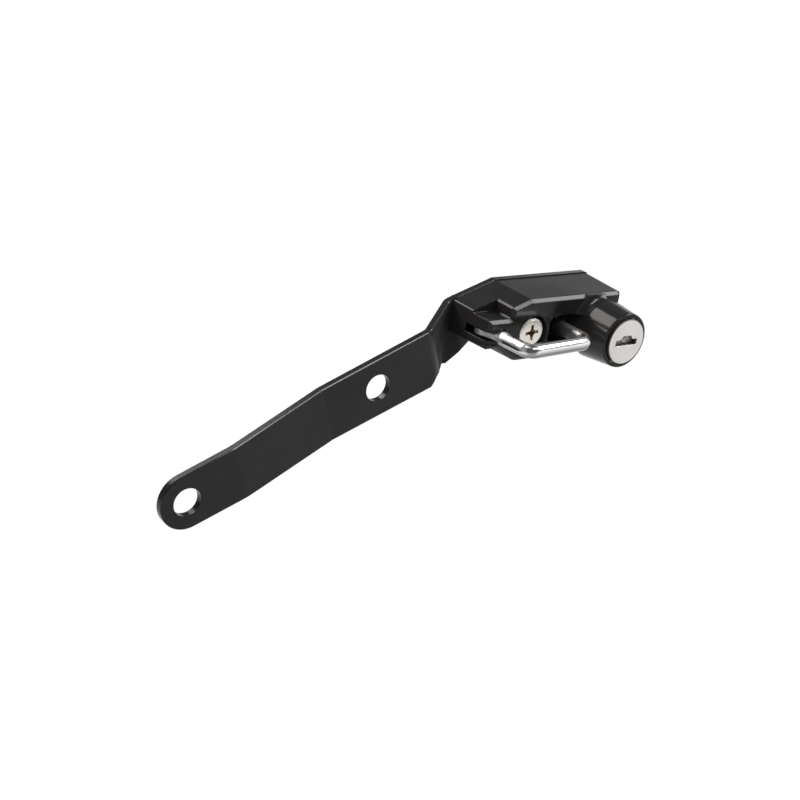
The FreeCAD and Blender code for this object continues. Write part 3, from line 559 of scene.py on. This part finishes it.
class LOCK_OT_shackle(Operator):
    """Plates the shackle and its pin."""

    bl_idname = "lock.shackle"
    bl_label = "Shackle"

    def bright_chrome(self):
        """Chrome: painted shade below and on the free leg, a painted dark reflection at the bend, and dull
        on that leg and the eye.
        """
        f = finishes()
        mat = plating("bright_chrome", f.chrome, f.chrome_roughness, 0.8 * MM, CHROME_DEPTH)
        tree = mat.node_tree
        # Painted shade: the chrome is much darker where it faces down
        below = facing(tree, "Z", none=0.42, full=-0.35)
        recolour(tree, tint(f.chrome, 0.22), below)
        # The free leg is duller, and its colour darker as painted shade
        dull_and_shaded_leg = stretch_of_rod(tree, FREE_LEG_X, FREE_LEG_Y, fade=1.5 * MM)
        roughen(tree, 0.4, dull_and_shaded_leg)
        recolour(tree, tint(f.chrome, 0.4), dull_and_shaded_leg)
        # Painted reflection: a dark spot round the bend's corner
        bend = step(tree, distance(tree, BEND_REFLECTION_CENTRE), none=2.5 * MM, full=1.3 * MM)
        recolour(tree, tint(f.chrome, 0.3), bend)
        eye = stretch_of_rod(tree, EYE_X, EYE_Y, fade=1 * MM)
        roughen(tree, 0.45, eye)
        return mat

    def execute(self, context):
        dress(self.bright_chrome(), "shackle")
        dress(plating("pin_steel", PIN_STEEL, 0.3, 0.2 * MM), "shackle_pivot_pin")
        return {"FINISHED"}


class LOCK_OT_screw(Operator):
    """Plates the fixing screw."""

    bl_idname = "lock.screw"
    bl_label = "Fixing screw"

    def execute(self, context):
        mat = plating("satin_nickel", finishes().nickel, 0.28, 0.25 * MM)
        tree = mat.node_tree
        # Painted shade: the nickel turns dark brown in and round the cross recess
        away = distance(tree, SCREW_RECESS, scale=(1, 1.6, 1))
        painted_recess_shade = step(tree, away, none=3.3 * MM, full=2.2 * MM)
        recolour(tree, RECESS_SHADE_BROWN, painted_recess_shade)
        dress(mat, "fixing_screw")
        return {"FINISHED"}


class LOCK_OT_cylinder(Operator):
    """Finishes the key cap, the plug, the wafers and the latch works."""

    bl_idname = "lock.cylinder"
    bl_label = "Cylinder"

    def satin_stainless(self):
        """Stainless steel with painted shade on the cap's rim, which is also dull."""
        f = finishes()
        mat = plating("satin_stainless", f.stainless, 0.30, 0.12 * MM)
        tree = mat.node_tree
        # Painted shade: the cap's rim is made dark and dull
        radius = distance(tree, CAP_AXIS, scale=(1, 0, 1))
        rim = step(tree, radius, none=7.45 * MM, full=7.75 * MM)
        recolour(tree, tint(f.stainless, 0.16), rim)
        roughen(tree, 0.55, rim)
        return mat

    def execute(self, context):
        f = finishes()
        dress(self.satin_stainless(), "plug_face_cap")
        # The shutter's steel is darker than the cap's as painted shade inside the key slot
        dress(plating("shaded_shutter_steel", SHADED_SHUTTER_STEEL, 0.42, 0.12 * MM), "key_shutter")
        dress(plating("plain_brass", f.brass, 0.33, 0.2 * MM), "cylinder_sleeve",
              "wafer_1", "wafer_2", "wafer_3", "wafer_4", "wafer_5")
        dress(plating("cast_zinc", f.zinc, 0.45, 0.3 * MM), "key_plug", "drive_cam")
        dress(plating("zinc_plated_steel", ZINC_PLATE, 0.34, 0.2 * MM), "sleeve_retaining_pin",
              "plug_retaining_clip", "latch_bolt", "rear_cover", "cover_screws")
        return {"FINISHED"}


class LOCK_OT_stage(Operator):
    """Makes the floor, the studio light and the camera."""

    bl_idname = "lock.stage"
    bl_label = "Stage"

    def floor_paper(self):
        """Pale paper that shows as nearly white and keeps a little of the object's shadow."""
        mat, tree, shader = new_material("floor_paper")
        shader.inputs["Base Color"].default_value = FLOOR_GREY
        shader.inputs["Roughness"].default_value = 0.8
        glow = tree.nodes.new("ShaderNodeEmission")
        glow.inputs["Strength"].default_value = 1.0
        share = tree.nodes.new("ShaderNodeMath")
        share.operation = "MULTIPLY"
        share.inputs[1].default_value = stage_values().floor_glow
        tree.links.new(seen_rays(tree), share.inputs[0])
        mix = tree.nodes.new("ShaderNodeMixShader")
        tree.links.new(share.outputs[0], mix.inputs["Fac"])
        tree.links.new(shader.outputs[0], mix.inputs[1])
        tree.links.new(glow.outputs[0], mix.inputs[2])
        tree.links.new(mix.outputs[0], tree.nodes["Material Output"].inputs["Surface"])
        return mat

    def floor(self):
        """Floor under the object."""
        v = stage_values()
        half = v.floor_size / 2
        low = CAD_BOX[0][2] - v.floor_drop
        corners = [(-half, -half, low), (half, -half, low), (half, half, low), (-half, half, low)]
        mesh = bpy.data.meshes.new("floor")
        mesh.from_pydata(corners, [], [(0, 1, 2, 3)])
        floor = bpy.data.objects.new("floor", mesh)
        bpy.context.scene.collection.objects.link(floor)
        mesh.materials.append(self.floor_paper())

    def world(self):
        """Even light from the studio's walls."""
        world = bpy.data.worlds.new("studio")
        bpy.context.scene.world = world
        world.use_nodes = True
        room = world.node_tree.nodes["Background"]
        room.inputs["Strength"].default_value = stage_values().walls
        room.inputs["Color"].default_value = (*WHITE, 1)

    def camera(self):
        """The photograph's camera."""
        data = bpy.data.cameras.new("camera")
        data.sensor_width = SENSOR_WIDTH
        data.lens = stage_values().focal_length
        data.clip_start = NEAR_LIMIT
        camera = bpy.data.objects.new("camera", data)
        right = Vector(CAMERA_RIGHT)
        up = Vector(CAMERA_UP)
        turn = Matrix((right, up, right.cross(up))).transposed().to_4x4()
        camera.matrix_world = Matrix.Translation(CAMERA_PLACE) @ turn
        bpy.context.scene.collection.objects.link(camera)
        bpy.context.scene.camera = camera

    def execute(self, context):
        self.floor()
        self.world()
        for name, (value, place, target, size, colour) in LIGHTS.items():
            area_light(name, place, target, size, getattr(stage_values(), value), colour)
        self.camera()
        context.scene.view_settings.view_transform = "Standard"
        return {"FINISHED"}


class LOCK_PT_panel(Panel):
    """Lists the lock's values and pieces."""

    bl_idname = "LOCK_PT_panel"
    bl_label = "Helmet lock"
    bl_space_type = "VIEW_3D"
    bl_region_type = "UI"
    bl_category = "Lock"

    def draw(self, context):
        for group in (finishes(), stage_values()):
            for key in group.bl_rna.properties.keys():
                if key not in ("rna_type", "name"):
                    self.layout.prop(group, key)
        for piece in PIECES:
            self.layout.operator(piece.bl_idname)


PIECES = (LOCK_OT_bracket, LOCK_OT_housing, LOCK_OT_shackle, LOCK_OT_screw, LOCK_OT_cylinder, LOCK_OT_stage)
CLASSES = (LOCK_PG_finishes, LOCK_PG_stage) + PIECES + (LOCK_PT_panel,)


def register():
    for cls in CLASSES:
        bpy.utils.register_class(cls)
    bpy.types.Scene.lock_finishes = PointerProperty(type=LOCK_PG_finishes)
    bpy.types.Scene.lock_stage = PointerProperty(type=LOCK_PG_stage)


def unregister():
    del bpy.types.Scene.lock_stage
    del bpy.types.Scene.lock_finishes
    for cls in reversed(CLASSES):
        bpy.utils.unregister_class(cls)


def main():
    register()
    bpy.ops.lock.bracket()
    bpy.ops.lock.housing()
    bpy.ops.lock.shackle()
    bpy.ops.lock.screw()
    bpy.ops.lock.cylinder()
    bpy.ops.lock.stage()
    bpy.context.view_layer.update()


if __name__ == "__main__":
    main()
